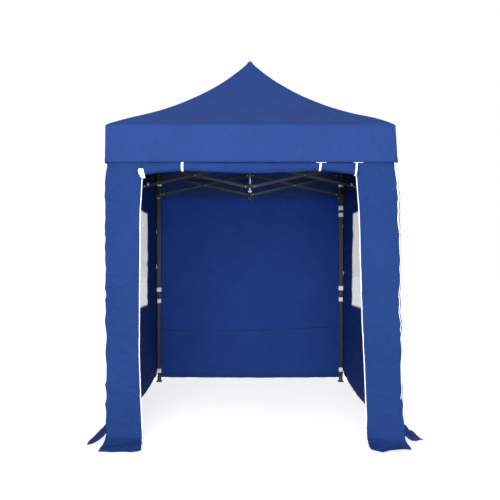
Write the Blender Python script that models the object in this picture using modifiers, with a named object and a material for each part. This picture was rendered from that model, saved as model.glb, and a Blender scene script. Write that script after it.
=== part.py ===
"""Pop-up canopy: a square folding steel frame with a pyramid roof cover and four walls.

Metres, +Z up, the front is at -Y. The middle of the footprint is the origin and the feet rest on Z = 0.
Each side truss and each roof truss is one pair of crossed bars per half span, so every bar has one length
and the whole frame folds on hinges that all turn by the same angle.
"""

import math

import bmesh
import bpy
from mathutils import Matrix, Vector

for old in list(bpy.data.objects):
    bpy.data.objects.remove(old, do_unlink=True)

# ---------------------------------------------------------------- driving dimensions
MM = 0.001
GAP = 0.3 * MM
WELD = 0.02 * MM            # points closer than this are one point
FLAT = math.radians(0.1)    # faces that meet at less than this are one face
STRAIGHT = 1e-11            # twice the area, in square metres, under which three points are in line
LEG_AXIS = 0.970            # leg axis to the middle, along X and along Y
LEG_OUT = 40 * MM           # outer leg, square tube
LEG_IN = 32 * MM            # inner leg, square tube
LEG_WALL = 1.0 * MM
LEG_OUT_LOW = 0.920         # lower end of the outer leg
LEG_TOP = 2.214             # top of the bracket on the outer leg
INNER_LEG_TOP = 1.350
FOOT_SIDE = 56 * MM
FOOT_THICK = 8 * MM

BAR_WIDE = 24 * MM          # truss bar, seen from the side of the truss
BAR_THICK = 12 * MM
BAR_WALL = 1.0 * MM
BAR_LAYER = 7 * MM          # the two bars of a pair lie this far each side of the truss plane
BAR_OVERHANG = 8 * MM       # bar end past its pivot

HIGH_PIVOT = 2.200          # upper pivots of the side trusses
SPREAD = 0.200              # upper to lower pivot, frame open
ROOF_TRUSS_DROP = 0.060     # the roof trusses hang this much lower
LEG_FORK = 45 * MM          # leg axis to its bar pivot
MID_FORK = 30 * MM          # middle of a side to its bar pivots
INWARD_FORK = 35 * MM       # truss plane to the roof truss pivot
HUB_FORK = 40 * MM          # centre of the hub to its pivots

CHEEK = 3 * MM
CHEEK_FREE = 0.5 * MM
FORK_HALF_HIGH = 14 * MM
FORK_REACH = 14 * MM        # cheek past its pivot
HUB_HALF = 25 * MM
SLEEVE_HALF = 26 * MM
SLEEVE_BORE_HALF = 20.5 * MM
SLEEVE_LOW = 1.935
SLEEVE_HIGH = 2.030
PIN_HEIGHT = 1.955
PIN_RADIUS = 4 * MM
PIN_START = 20.3 * MM        # tip of the pin to the leg axis
PIN_END = 29 * MM
PIN_HOLE_RADIUS = 4.4 * MM
KNOB_RADIUS = 9 * MM
KNOB_START = 26.4 * MM
KNOB_END = 36 * MM
PIN_SEGMENTS = 12
KNOB_SEGMENTS = 16

POLE_RADIUS = 12.5 * MM
POLE_CAP_RADIUS = 30 * MM
POLE_TOP = 3.012
POLE_SEGMENTS = 16

EAVE = 2.222
PEAK = 3.050
ROOF_HALF = 1.0125
ROOF_STRAIGHT_SHARE = 0.70  # share of the rise that is a straight slope; the rest steepens to the peak
CLOTH = 1.5 * MM
VALANCE_LOW = 1.957
ROOF_STEPS = 11

WALL_IN = 1.000             # inner face of a wall to the middle
WALL_TOP = 2.160
WALL_BEND = 0.100           # the ground flap leaves the wall here
FLAP_OUT = 0.190
DOOR_HALF = 0.760
DOOR_TOP = 1.956
ROLL_AXIS_OUT = 1.016
ROLL_AXIS_HIGH = 1.919
ROLL_HALF_DEEP = 0.026
ROLL_HALF_HIGH = 0.034
ROLL_HALF_LONG = 0.755
ROLL_SEGMENTS = 16

SIDES = [("front", 0), ("right", 90), ("back", 180), ("left", 270)]
CORNERS = {
    "front": ("front_left", "front_right"),
    "right": ("front_right", "back_right"),
    "back": ("back_right", "back_left"),
    "left": ("back_left", "front_left"),
}

LOW_PIVOT = HIGH_PIVOT - SPREAD
HALF_SPAN = LEG_AXIS - LEG_FORK - MID_FORK
BAR_LENGTH = math.hypot(HALF_SPAN, SPREAD)

# ---------------------------------------------------------------- collections and materials
parts = bpy.data.collections.new("pop_up_canopy")
cutters = bpy.data.collections.new("cutters")
bpy.context.scene.collection.children.link(parts)
bpy.context.scene.collection.children.link(cutters)


def paint(obj, colour, roughness, metallic=0.0):
    """Give one piece its own Principled material."""
    mat = bpy.data.materials.new(obj.name + "_mat")
    mat.use_nodes = True
    shader = mat.node_tree.nodes["Principled BSDF"]
    shader.inputs["Base Color"].default_value = (*colour, 1.0)
    shader.inputs["Roughness"].default_value = roughness
    shader.inputs["Metallic"].default_value = metallic
    obj.data.materials.clear()
    obj.data.materials.append(mat)


def add_piece(name, mesh, degrees=0.0, origin=(0.0, 0.0, 0.0), into=parts):
    """An object from a mesh drawn in the front side's frame, turned to its own side about the Z axis."""
    mesh.name = name
    mesh.transform(Matrix.Translation(-Vector(origin)))
    obj = bpy.data.objects.new(name, mesh)
    turn = Matrix.Rotation(math.radians(degrees), 4, "Z")
    obj.location = turn @ Vector(origin)
    obj.rotation_euler = (0.0, 0.0, math.radians(degrees))
    into.objects.link(obj)
    return obj


def add_helper(name, mesh, degrees=0.0):
    """A shape that only joins or cuts another piece."""
    obj = add_piece(name, mesh, degrees, into=cutters)
    obj.hide_render = True
    obj.display_type = "WIRE"
    return obj


def boolean(obj, other, how):
    mod = obj.modifiers.new(other.name, "BOOLEAN")
    mod.operation = how
    mod.solver = "EXACT"
    mod.object = other


def mesh_from(editable):
    mesh = bpy.data.meshes.new("shape")
    editable.to_mesh(mesh)
    editable.free()
    return mesh


def box_mesh(low, high):
    """A box between two opposite corners."""
    low = Vector(low)
    high = Vector(high)
    size = high - low
    editable = bmesh.new()
    placed = Matrix.Translation((low + high) / 2) @ Matrix.Diagonal((*size, 1.0))
    bmesh.ops.create_cube(editable, size=1.0, matrix=placed)
    return mesh_from(editable)


def post_mesh(half, low, high):
    """An upright square post on the axis of a leg."""
    return box_mesh((-LEG_AXIS - half, -LEG_AXIS - half, low), (-LEG_AXIS + half, -LEG_AXIS + half, high))


def rod_mesh(start, end, y, z, half_deep, half_high, segments):
    """A round or oval rod along X."""
    editable = bmesh.new()
    placed = Matrix.Translation(((start + end) / 2, y, z))
    placed @= Matrix.Diagonal((1.0, half_deep, half_high, 1.0))
    placed @= Matrix.Rotation(math.radians(90), 4, "Y")
    bmesh.ops.create_cone(
        editable, cap_ends=True, segments=segments, radius1=1.0, radius2=1.0, depth=end - start, matrix=placed
    )
    mesh = mesh_from(editable)
    mesh.shade_smooth()
    mesh.set_sharp_from_angle(angle=math.radians(40))
    return mesh


def corners_only(points):
    """An outline without its repeated points and without those in the middle of a straight side."""
    kept = list(dict.fromkeys((round(x, 7), round(y, 7)) for x, y in points))
    corners = []
    for i, (x, y) in enumerate(kept):
        ax, ay = kept[i - 1]
        bx, by = kept[(i + 1) % len(kept)]
        if abs((x - ax) * (by - y) - (y - ay) * (bx - x)) > STRAIGHT:
            corners.append((x, y))
    return corners


def extruded_mesh(outline, low, high, placed=None):
    """A flat outline thickened from low to high: a filled 2D curve, welded into a mesh."""
    outline = corners_only(outline)
    curve = bpy.data.curves.new("outline", "CURVE")
    curve.dimensions = "2D"
    curve.fill_mode = "BOTH"
    curve.extrude = (high - low) / 2
    spline = curve.splines.new("POLY")
    spline.points.add(len(outline) - 1)
    for point, (x, y) in zip(spline.points, outline):
        point.co = (x, y, 0.0, 1.0)
    spline.use_cyclic_u = True
    drawn = bpy.data.objects.new("outline", curve)
    parts.objects.link(drawn)
    drawn.matrix_world = (placed or Matrix()) @ Matrix.Translation((0.0, 0.0, (low + high) / 2))
    bpy.context.view_layer.update()
    seen = drawn.evaluated_get(bpy.context.evaluated_depsgraph_get())
    mesh = bpy.data.meshes.new_from_object(seen)
    mesh.transform(drawn.matrix_world)
    bpy.data.objects.remove(drawn, do_unlink=True)
    editable = bmesh.new()
    editable.from_mesh(mesh)
    bmesh.ops.remove_doubles(editable, verts=editable.verts, dist=WELD)
    bmesh.ops.dissolve_limit(editable, angle_limit=FLAT, verts=editable.verts, edges=editable.edges)
    bmesh.ops.recalc_face_normals(editable, faces=editable.faces)
    editable.to_mesh(mesh)
    editable.free()
    return mesh


def turned(points, degrees):
    """Plan points turned about the middle by whole quarter turns."""
    c = round(math.cos(math.radians(degrees)))
    s = round(math.sin(math.radians(degrees)))
    return [(x * c - y * s, x * s + y * c) for x, y in points]


def shifted(points, dx, dy):
    return [(x + dx, y + dy) for x, y in points]


def fork(layer, base, reach):
    """Plan points of the two cheeks that hold a bar, left to right, pointing to -Y from a face at -base."""
    inner = BAR_THICK / 2 + CHEEK_FREE
    outer = inner + CHEEK
    points = []
    for a, b in ((layer - outer, layer - inner), (layer + inner, layer + outer)):
        points += [(a, -base), (a, -reach), (b, -reach), (b, -base)]
    return points


def corner_fork_plan(half, layer, reach):
    """Plan of a square core with a fork toward +X and a fork toward +Y, at the left-hand leg of a side."""
    toward_x = turned(fork(layer, half, reach), 90)
    toward_y = [(x, -y) for x, y in fork(layer, half, reach)]
    plan = [(-half, -half), (half, -half)] + toward_x + [(half, half)] + toward_y[::-1] + [(-half, half)]
    return shifted(plan, -LEG_AXIS, -LEG_AXIS)


STEEL = (0.012, 0.012, 0.014)
NYLON = (0.02, 0.02, 0.022)
ZINC = (0.62, 0.63, 0.65)
ROYAL_BLUE = (0.02, 0.07, 0.36)

# ---------------------------------------------------------------- legs, sliders and their pins
# Each leg is drawn in the frame of the side that carries it, at that side's left-hand end.
outer_half = LEG_OUT / 2
inner_half = LEG_IN / 2
cap_half = outer_half + 2 * MM
core = SLEEVE_HALF - 1 * MM
leg_fork_reach = LEG_FORK + FORK_REACH
head_low = HIGH_PIVOT - FORK_HALF_HIGH
through = 20 * MM           # a cutter runs this far past what it cuts

for side, angle in SIDES:
    corner = CORNERS[side][0]

    # outer leg with the bracket at its top; one fork for the truss of each side that meets here
    pivot = (-LEG_AXIS + LEG_FORK, -LEG_AXIS, HIGH_PIVOT)
    leg = add_piece("leg_" + corner, post_mesh(outer_half, LEG_OUT_LOW, HIGH_PIVOT), angle, pivot)
    paint(leg, STEEL, 0.38)
    head_plan = corner_fork_plan(cap_half, -BAR_LAYER, leg_fork_reach)
    head = add_helper("head_" + corner, extruded_mesh(head_plan, head_low, LEG_TOP), angle)
    boolean(leg, head, "UNION")
    bore = post_mesh(outer_half - LEG_WALL, LEG_OUT_LOW - through, head_low)
    boolean(leg, add_helper("leg_bore_" + corner, bore, angle), "DIFFERENCE")
    hole = rod_mesh(
        -LEG_AXIS + LEG_OUT / 4,
        -LEG_AXIS + LEG_OUT,
        -LEG_AXIS,
        PIN_HEIGHT,
        PIN_HOLE_RADIUS,
        PIN_HOLE_RADIUS,
        PIN_SEGMENTS,
    )
    pin_hole = add_helper("pin_hole_" + corner, hole, angle)
    boolean(leg, pin_hole, "DIFFERENCE")

    # inner leg with its welded foot plate
    post = post_mesh(inner_half, FOOT_THICK / 2, INNER_LEG_TOP)
    inner = add_piece("inner_leg_" + corner, post, angle, (-LEG_AXIS, -LEG_AXIS, 0.0))
    paint(inner, STEEL, 0.42)
    plate = add_helper("foot_plate_" + corner, post_mesh(FOOT_SIDE / 2, 0.0, FOOT_THICK), angle)
    boolean(inner, plate, "UNION")
    bore = post_mesh(inner_half - LEG_WALL, FOOT_THICK, INNER_LEG_TOP + through)
    boolean(inner, add_helper("inner_leg_bore_" + corner, bore, angle), "DIFFERENCE")

    # slider on the outer leg, with a fork for the low bar of each side
    pivot = (-LEG_AXIS + LEG_FORK, -LEG_AXIS, LOW_PIVOT)
    plan = corner_fork_plan(core, BAR_LAYER, leg_fork_reach)
    forks = extruded_mesh(plan, LOW_PIVOT - FORK_HALF_HIGH, LOW_PIVOT + FORK_HALF_HIGH)
    slider = add_piece("slider_" + corner, forks, angle, pivot)
    paint(slider, NYLON, 0.5)
    sleeve = add_helper("sleeve_" + corner, post_mesh(SLEEVE_HALF, SLEEVE_LOW, SLEEVE_HIGH), angle)
    boolean(slider, sleeve, "UNION")
    bore = post_mesh(SLEEVE_BORE_HALF, SLEEVE_LOW - through, SLEEVE_HIGH + through)
    boolean(slider, add_helper("sleeve_bore_" + corner, bore, angle), "DIFFERENCE")
    boolean(slider, pin_hole, "DIFFERENCE")

    # spring pin that locks the slider: pulled out by its knob to let the frame fold
    shank = rod_mesh(
        -LEG_AXIS + PIN_START,
        -LEG_AXIS + PIN_END,
        -LEG_AXIS,
        PIN_HEIGHT,
        PIN_RADIUS,
        PIN_RADIUS,
        PIN_SEGMENTS,
    )
    pin = add_piece("slider_pin_" + corner, shank, angle, (-LEG_AXIS + PIN_END, -LEG_AXIS, PIN_HEIGHT))
    paint(pin, ZINC, 0.3, 1.0)
    knob = rod_mesh(
        -LEG_AXIS + KNOB_START,
        -LEG_AXIS + KNOB_END,
        -LEG_AXIS,
        PIN_HEIGHT,
        KNOB_RADIUS,
        KNOB_RADIUS,
        KNOB_SEGMENTS,
    )
    boolean(pin, add_helper("knob_" + corner, knob, angle), "UNION")

# ---------------------------------------------------------------- the bar that every truss is made of
# One flat rectangular tube from pivot to pivot: X runs along it and its first pivot is the origin.
half_wide = BAR_WIDE / 2
half_thick = BAR_THICK / 2
bar_low = (-BAR_OVERHANG, -half_thick, -half_wide)
bar_high = (BAR_LENGTH + BAR_OVERHANG, half_thick, half_wide)
stock = add_helper("bar_stock", box_mesh(bar_low, bar_high))
bore_low = (bar_low[0] - through, bar_low[1] + BAR_WALL, bar_low[2] + BAR_WALL)
bore_high = (bar_high[0] + through, bar_high[1] - BAR_WALL, bar_high[2] - BAR_WALL)
boolean(stock, add_helper("bar_bore", box_mesh(bore_low, bore_high)), "DIFFERENCE")
bpy.context.view_layer.update()
bar_mesh = bpy.data.meshes.new_from_object(stock.evaluated_get(bpy.context.evaluated_depsgraph_get()))


def lay_bar(name, start, end, degrees, origin_share=0.0):
    """One bar between two pivots of the front side's frame, with its origin at a share of its length."""
    run = Vector(end) - Vector(start)
    mesh = bar_mesh.copy()
    mesh.name = name
    mesh.transform(Matrix.Translation((-BAR_LENGTH * origin_share, 0.0, 0.0)))
    bar = bpy.data.objects.new(name, mesh)
    turn = Matrix.Rotation(math.radians(degrees), 4, "Z")
    bar.location = turn @ (Vector(start) + run * origin_share)
    tilt = math.atan2(-run.z, math.hypot(run.x, run.y))
    heading = math.atan2(run.y, run.x) + math.radians(degrees)
    bar.rotation_euler = (0.0, tilt, heading)
    parts.objects.link(bar)
    paint(bar, STEEL, 0.4)


# ---------------------------------------------------------------- side trusses
# The high bars run from the top of a leg down to the middle of the side, in the outer layer.
# The low bars run from a slider up to the middle of the side, in the inner layer.
leg_u = LEG_AXIS - LEG_FORK
for side, angle in SIDES:
    for corner, way in zip(CORNERS[side], (-1, 1)):
        end_name = corner.split("_")[1 if side in ("front", "back") else 0]
        y = -LEG_AXIS - BAR_LAYER
        start = (way * MID_FORK, y, LOW_PIVOT)
        lay_bar("truss_" + side + "_high_bar_" + end_name, start, (way * leg_u, y, HIGH_PIVOT), angle)
        y = -LEG_AXIS + BAR_LAYER
        start = (way * MID_FORK, y, HIGH_PIVOT)
        lay_bar("truss_" + side + "_low_bar_" + end_name, start, (way * leg_u, y, LOW_PIVOT), angle)

# ---------------------------------------------------------------- joint brackets in the middle of each side
mid_reach = MID_FORK + FORK_REACH
inward_reach = INWARD_FORK + FORK_REACH
core_half = 15 * MM
cheek_out = BAR_THICK / 2 + CHEEK_FREE + CHEEK


def inward_plan(layer, roof_layer):
    """Plan of the fork that holds a bar of the roof truss, behind the same core."""
    low = layer - cheek_out
    high = layer + cheek_out
    left = min(-core_half, roof_layer - cheek_out)
    right = max(core_half, roof_layer + cheek_out)
    ears = [(x, -y) for x, y in fork(roof_layer, high, inward_reach)]
    plan = [(left, low), (right, low), (right, high)] + ears[::-1] + [(left, high)]
    return shifted(plan, 0.0, -LEG_AXIS)


for side, angle in SIDES:
    for level, pivot_z, layer in (("upper", HIGH_PIVOT, BAR_LAYER), ("lower", LOW_PIVOT, -BAR_LAYER)):
        name = side + "_" + level + "_bracket"
        roof_z = pivot_z - ROOF_TRUSS_DROP
        low = pivot_z - FORK_HALF_HIGH
        high = pivot_z + FORK_HALF_HIGH
        front = -LEG_AXIS + layer - cheek_out
        back = -LEG_AXIS + layer + cheek_out
        core_box = box_mesh((-core_half, front, low), (core_half, back, high))
        bracket = add_piece(name, core_box, angle, (0.0, -LEG_AXIS + INWARD_FORK, roof_z))
        paint(bracket, NYLON, 0.5)
        # two plates whose ends are the cheeks of the left and the right bar
        for place, y in (("outer_plate_", front), ("inner_plate_", back - CHEEK)):
            plate = box_mesh((-mid_reach, y, low), (mid_reach, y + CHEEK, high))
            boolean(bracket, add_helper(place + name, plate, angle), "UNION")
        stem_low = (-core_half + GAP, front + GAP, roof_z)
        stem_high = (core_half - GAP, back - GAP, pivot_z)
        boolean(bracket, add_helper("stem_" + name, box_mesh(stem_low, stem_high), angle), "UNION")
        plan = inward_plan(layer, -layer)
        roof_fork = extruded_mesh(plan, roof_z - FORK_HALF_HIGH, roof_z + FORK_HALF_HIGH)
        boolean(bracket, add_helper("roof_fork_" + name, roof_fork, angle), "UNION")

# ---------------------------------------------------------------- roof trusses, from each side to the centre
roof_high = HIGH_PIVOT - ROOF_TRUSS_DROP
roof_low = LOW_PIVOT - ROOF_TRUSS_DROP
side_y = -LEG_AXIS + INWARD_FORK
for side, angle in SIDES:
    name = "roof_truss_" + side
    lay_bar(name + "_top_bar", (BAR_LAYER, -HUB_FORK, roof_high), (BAR_LAYER, side_y, roof_low), angle)
    start = (-BAR_LAYER, side_y, roof_high)
    lay_bar(name + "_bottom_bar", start, (-BAR_LAYER, -HUB_FORK, roof_low), angle, origin_share=0.5)

# ---------------------------------------------------------------- centre hubs and the pole under the peak
hub_reach = HUB_FORK + FORK_REACH
for name, height, layer, origin in (
    ("centre_hub_top", roof_high, BAR_LAYER, (0.0, 0.0, roof_high)),
    ("centre_hub_bottom", roof_low, -BAR_LAYER, (0.0, -HUB_FORK, roof_low)),
):
    plan = []
    for side, angle in SIDES:
        plan += turned([(-HUB_HALF, -HUB_HALF)] + fork(layer, HUB_HALF, hub_reach), angle)
    hub_mesh = extruded_mesh(plan, height - FORK_HALF_HIGH, height + FORK_HALF_HIGH)
    paint(add_piece(name, hub_mesh, 0.0, origin), NYLON, 0.5)

# a round tube with a mushroom cap under the peak of the cover, turned about the Z axis
pole_low = roof_high + FORK_HALF_HIGH + GAP
pole_profile = [
    (0.0, POLE_TOP),
    (POLE_CAP_RADIUS * 0.30, POLE_TOP),
    (POLE_CAP_RADIUS * 0.72, POLE_TOP - 6 * MM),
    (POLE_CAP_RADIUS, POLE_TOP - 18 * MM),
    (POLE_CAP_RADIUS, POLE_TOP - 24 * MM),
    (POLE_RADIUS, POLE_TOP - 30 * MM),
    (POLE_RADIUS, pole_low),
    (0.0, pole_low),
]
profile_mesh = bpy.data.meshes.new("centre_pole")
profile_edges = [(i, i + 1) for i in range(len(pole_profile) - 1)]
profile_mesh.from_pydata([(radius, 0.0, z) for radius, z in pole_profile], profile_edges, [])
pole = add_piece("centre_pole", profile_mesh)
screw = pole.modifiers.new("turned", "SCREW")
screw.axis = "Z"
screw.steps = POLE_SEGMENTS
screw.render_steps = POLE_SEGMENTS
screw.use_merge_vertices = True
screw.merge_threshold = WELD
screw.use_smooth_shade = True
paint(pole, STEEL, 0.4)


# ---------------------------------------------------------------- roof cover, one panel for each side
def roof_height(out):
    """Height of the roof's outer surface at a distance from the middle."""
    t = 1.0 - out / ROOF_HALF
    return EAVE + (PEAK - EAVE) * (ROOF_STRAIGHT_SHARE * t + (1.0 - ROOF_STRAIGHT_SHARE) * t**3)


# A profile drawn in the plane of distance from the middle and height is swept across its side:
# its X axis points to -Y, its Y axis up and its thickness across.
across = Matrix(((0, 0, -1, 0), (-1, 0, 0, 0), (0, 1, 0, 0), (0, 0, 0, 1)))
tip = 4 * MM
slope_rise = 1.35           # vertical thickness of the sloping cloth over its true thickness
outline = []
for i in range(ROOF_STEPS + 1):
    out = tip + (ROOF_HALF - tip) * i / ROOF_STEPS
    outline.append((out, roof_height(out)))
outline += [(ROOF_HALF, VALANCE_LOW), (ROOF_HALF - CLOTH, VALANCE_LOW)]
for i in range(ROOF_STEPS, -1, -1):
    out = tip + (ROOF_HALF - CLOTH - tip) * i / ROOF_STEPS
    outline.append((out, roof_height(out) - CLOTH * slope_rise))

# the hips: each panel is cut to the quarter of the plan that is its own
wedge_out = ROOF_HALF + 0.1
wedge_plan = [(0.0, -GAP), (-wedge_out + GAP, -wedge_out), (wedge_out - GAP, -wedge_out)]
for side, angle in SIDES:
    panel_mesh = extruded_mesh(outline, -ROOF_HALF - through, ROOF_HALF + through, across)
    panel = add_piece("roof_cover_" + side, panel_mesh, angle, (0.0, 0.0, PEAK))
    paint(panel, ROYAL_BLUE, 0.75)
    quarter = extruded_mesh(wedge_plan, VALANCE_LOW - through, PEAK + through)
    boolean(panel, add_helper("quarter_" + side, quarter, angle), "INTERSECT")

# ---------------------------------------------------------------- walls with their ground flaps
flap_low = 1 * MM
wall_half = WALL_IN - 0.5 * MM
wall_outline = [
    (WALL_IN, WALL_TOP),
    (WALL_IN, WALL_BEND),
    (WALL_IN + FLAP_OUT, flap_low),
    (WALL_IN + FLAP_OUT + CLOTH / 2, flap_low + CLOTH),
    (WALL_IN + CLOTH, WALL_BEND + CLOTH / 2),
    (WALL_IN + CLOTH, WALL_TOP),
]
for side, angle in SIDES:
    wall = add_piece("wall_" + side, extruded_mesh(wall_outline, -wall_half, wall_half, across), angle)
    paint(wall, ROYAL_BLUE, 0.75)
    if side == "front":
        doorway = box_mesh((-DOOR_HALF, -WALL_IN - 2 * FLAP_OUT, -through), (DOOR_HALF, -LEG_AXIS, DOOR_TOP))
        boolean(wall, add_helper("doorway", doorway), "DIFFERENCE")

# rolled-up door, tied at the top of the doorway
roll_mesh = rod_mesh(
    -ROLL_HALF_LONG,
    ROLL_HALF_LONG,
    -ROLL_AXIS_OUT,
    ROLL_AXIS_HIGH,
    ROLL_HALF_DEEP,
    ROLL_HALF_HIGH,
    ROLL_SEGMENTS,
)
paint(add_piece("rolled_door", roll_mesh), ROYAL_BLUE, 0.75)
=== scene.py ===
"""Looks of a pop-up canopy: a black folding steel frame under a royal blue polyester roof with four walls.

Metres, +Z up, the front faces -Y. Every side is drawn as the front one and turned about the middle.
"""

import math

import bmesh
import bpy
import numpy as np
from mathutils import Matrix, Vector, noise


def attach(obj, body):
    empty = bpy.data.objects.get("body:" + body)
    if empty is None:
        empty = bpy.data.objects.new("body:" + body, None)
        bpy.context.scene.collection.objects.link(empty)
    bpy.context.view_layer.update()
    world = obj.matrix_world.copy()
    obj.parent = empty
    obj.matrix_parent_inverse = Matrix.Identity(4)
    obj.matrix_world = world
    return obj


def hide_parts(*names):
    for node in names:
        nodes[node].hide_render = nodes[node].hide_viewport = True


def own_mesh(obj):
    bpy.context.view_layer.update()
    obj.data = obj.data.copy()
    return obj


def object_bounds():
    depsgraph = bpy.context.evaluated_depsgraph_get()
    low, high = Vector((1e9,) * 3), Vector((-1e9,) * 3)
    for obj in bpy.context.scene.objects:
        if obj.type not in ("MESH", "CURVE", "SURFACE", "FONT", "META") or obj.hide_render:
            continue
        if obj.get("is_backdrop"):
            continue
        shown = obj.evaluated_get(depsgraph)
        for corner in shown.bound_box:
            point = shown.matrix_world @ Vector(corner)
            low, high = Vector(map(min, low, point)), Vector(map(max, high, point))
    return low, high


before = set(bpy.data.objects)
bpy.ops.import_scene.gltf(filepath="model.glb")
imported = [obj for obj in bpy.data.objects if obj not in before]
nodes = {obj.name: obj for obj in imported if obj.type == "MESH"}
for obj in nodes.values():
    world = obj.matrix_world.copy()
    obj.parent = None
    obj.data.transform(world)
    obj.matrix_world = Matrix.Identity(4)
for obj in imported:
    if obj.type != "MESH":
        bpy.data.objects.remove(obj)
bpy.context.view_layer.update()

# ---------------------------------------------------------------- studio: camera, soft light and floor
# A level camera at chest height, straight in front of the doorway. A white sweep gives even light from all
# round. Two soft boxes stand behind the camera, and the others hang overhead, behind the canopy and at its
# right. The floor is matt white paper.
MM = 0.001


def add_node(tree, kind, settings=None, **links):
    """Add a shader node; settings are its own properties, and links fill its inputs by name."""
    node = tree.nodes.new(kind)
    for key, value in (settings or {}).items():
        setattr(node, key, value)
    for key, value in links.items():
        found = [s for s in node.inputs if s.name.replace(" ", "_") == key and s.enabled]
        socket = found[0] if found else node.inputs[int(key.strip("_i"))]
        if isinstance(value, bpy.types.NodeSocket):
            tree.links.new(value, socket)
        else:
            socket.default_value = value
    return node


def hex_colour(code):
    """An sRGB hex colour as linear red, green, blue and an alpha of 1."""
    channels = []
    for i in (0, 2, 4):
        c = int(code[i : i + 2], 16) / 255
        channels.append(c / 12.92 if c <= 0.04045 else ((c + 0.055) / 1.055) ** 2.4)
    return (*channels, 1.0)


def new_material(name):
    """An empty node material and its output node."""
    material = bpy.data.materials.new(name)
    material.use_nodes = True
    material.node_tree.nodes.clear()
    return material, material.node_tree, material.node_tree.nodes.new("ShaderNodeOutputMaterial")


scene = bpy.context.scene
scene.view_settings.view_transform = "Standard"
camera_data = bpy.data.cameras.new("camera")
camera_data.lens = 38.6
camera_data.shift_y = 0.034
camera = bpy.data.objects.new("camera", camera_data)
camera.location = (0.0, -4.762, 1.225)
camera.rotation_euler = (math.radians(90), 0, 0)
scene.collection.objects.link(camera)
scene.camera = camera

world = bpy.data.worlds.new("white_sweep")
world.use_nodes = True
tree = world.node_tree
tree.nodes.clear()
sweep = add_node(tree, "ShaderNodeBackground", Color=(1, 1, 1, 1), Strength=1.0)
fill = add_node(tree, "ShaderNodeBackground", Color=(1, 1, 1, 1), Strength=0.50)
ray = add_node(tree, "ShaderNodeLightPath")
by_camera = ray.outputs["Is Camera Ray"]
seen = add_node(tree, "ShaderNodeMixShader", Fac=by_camera, _1=fill.outputs[0], _2=sweep.outputs[0])
tree.links.new(seen.outputs[0], tree.nodes.new("ShaderNodeOutputWorld").inputs["Surface"])
scene.world = world


def soft_box(name, place, aim, size, power):
    """A square area lamp that points at a place."""
    data = bpy.data.lights.new(name, "AREA")
    data.size = size
    data.energy = power
    lamp = bpy.data.objects.new(name, data)
    lamp.location = place
    lamp.rotation_euler = (Vector(aim) - Vector(place)).to_track_quat("-Z", "Y").to_euler()
    scene.collection.objects.link(lamp)


soft_box("key_box", (-1.2, -6.0, 2.8), (0, 0, 1.2), 2.4, 275)
soft_box("low_box", (0.4, -6.6, 0.9), (0, 0, 1.2), 2.0, 290)
soft_box("top_box", (0.0, -2.6, 6.4), (0, -0.6, 0.0), 2.6, 115)
soft_box("back_box", (0.0, 5.5, 1.7), (0, 0, 1.2), 2.2, 620)
soft_box("side_box", (6.5, 1.0, 3.0), (0, 0, 1.0), 3.0, 170)

paper, tree, out = new_material("matt_white_paper")
matt = add_node(tree, "ShaderNodeBsdfDiffuse", Color=(0.34, 0.34, 0.34, 1))
ray = add_node(tree, "ShaderNodeLightPath")
# the paper fades into the white sweep a few metres from the middle, so that no horizon shows
place = add_node(tree, "ShaderNodeTexCoord")
away = add_node(tree, "ShaderNodeVectorMath", {"operation": "LENGTH"}, _0=place.outputs["Object"])
fade = add_node(tree, "ShaderNodeMapRange", _i0=away.outputs["Value"], _i1=1.5, _i2=4.0, _i3=0.78, _i4=1.0)
lift = add_node(tree, "ShaderNodeMapRange", _i0=ray.outputs["Is Camera Ray"], _i3=0.48, _i4=fade.outputs[0])
glow = add_node(tree, "ShaderNodeEmission", Color=(1, 1, 1, 1), Strength=lift.outputs[0])
both = add_node(tree, "ShaderNodeAddShader", _0=matt.outputs[0], _1=glow.outputs[0])
tree.links.new(both.outputs[0], out.inputs["Surface"])
floor_mesh = bpy.data.meshes.new("floor")
floor_shape = bmesh.new()
bmesh.ops.create_grid(floor_shape, x_segments=8, y_segments=8, size=60)
floor_shape.to_mesh(floor_mesh)
floor_shape.free()
floor_mesh.materials.append(paper)
floor = bpy.data.objects.new("floor", floor_mesh)
scene.collection.objects.link(floor)
floor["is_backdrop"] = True

# ---------------------------------------------------------------- legs
# Two square steel tubes, 40 mm and 32 mm, one sliding in the other; the inner one has a foot plate welded on.
# They are powder coated black: an even satin skin with a faint orange peel, and a highlight painted a little
# lighter along the edges.
LEG_AXIS = 0.970
SIDES = {"front": 0, "right": 90, "back": 180, "left": 270}
CORNERS = {"front_left": (-1, -1), "front_right": (1, -1), "back_right": (1, 1), "back_left": (-1, 1)}


def painted_edge_highlight(tree, radius):
    """Mask of the painted edge highlight: 0 on flat faces and up to 1 along edges, from the angle between the
    face and its rounded normal.
    """
    rounded = add_node(tree, "ShaderNodeBevel", {"samples": 4}, Radius=radius)
    face = add_node(tree, "ShaderNodeNewGeometry")
    along = add_node(
        tree,
        "ShaderNodeVectorMath",
        {"operation": "DOT_PRODUCT"},
        _0=rounded.outputs[0],
        _1=face.outputs["True Normal"],
    )
    edge = add_node(tree, "ShaderNodeMapRange", _i0=along.outputs["Value"], _i1=0.995, _i2=0.90)
    return edge.outputs[0], rounded.outputs[0]


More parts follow.
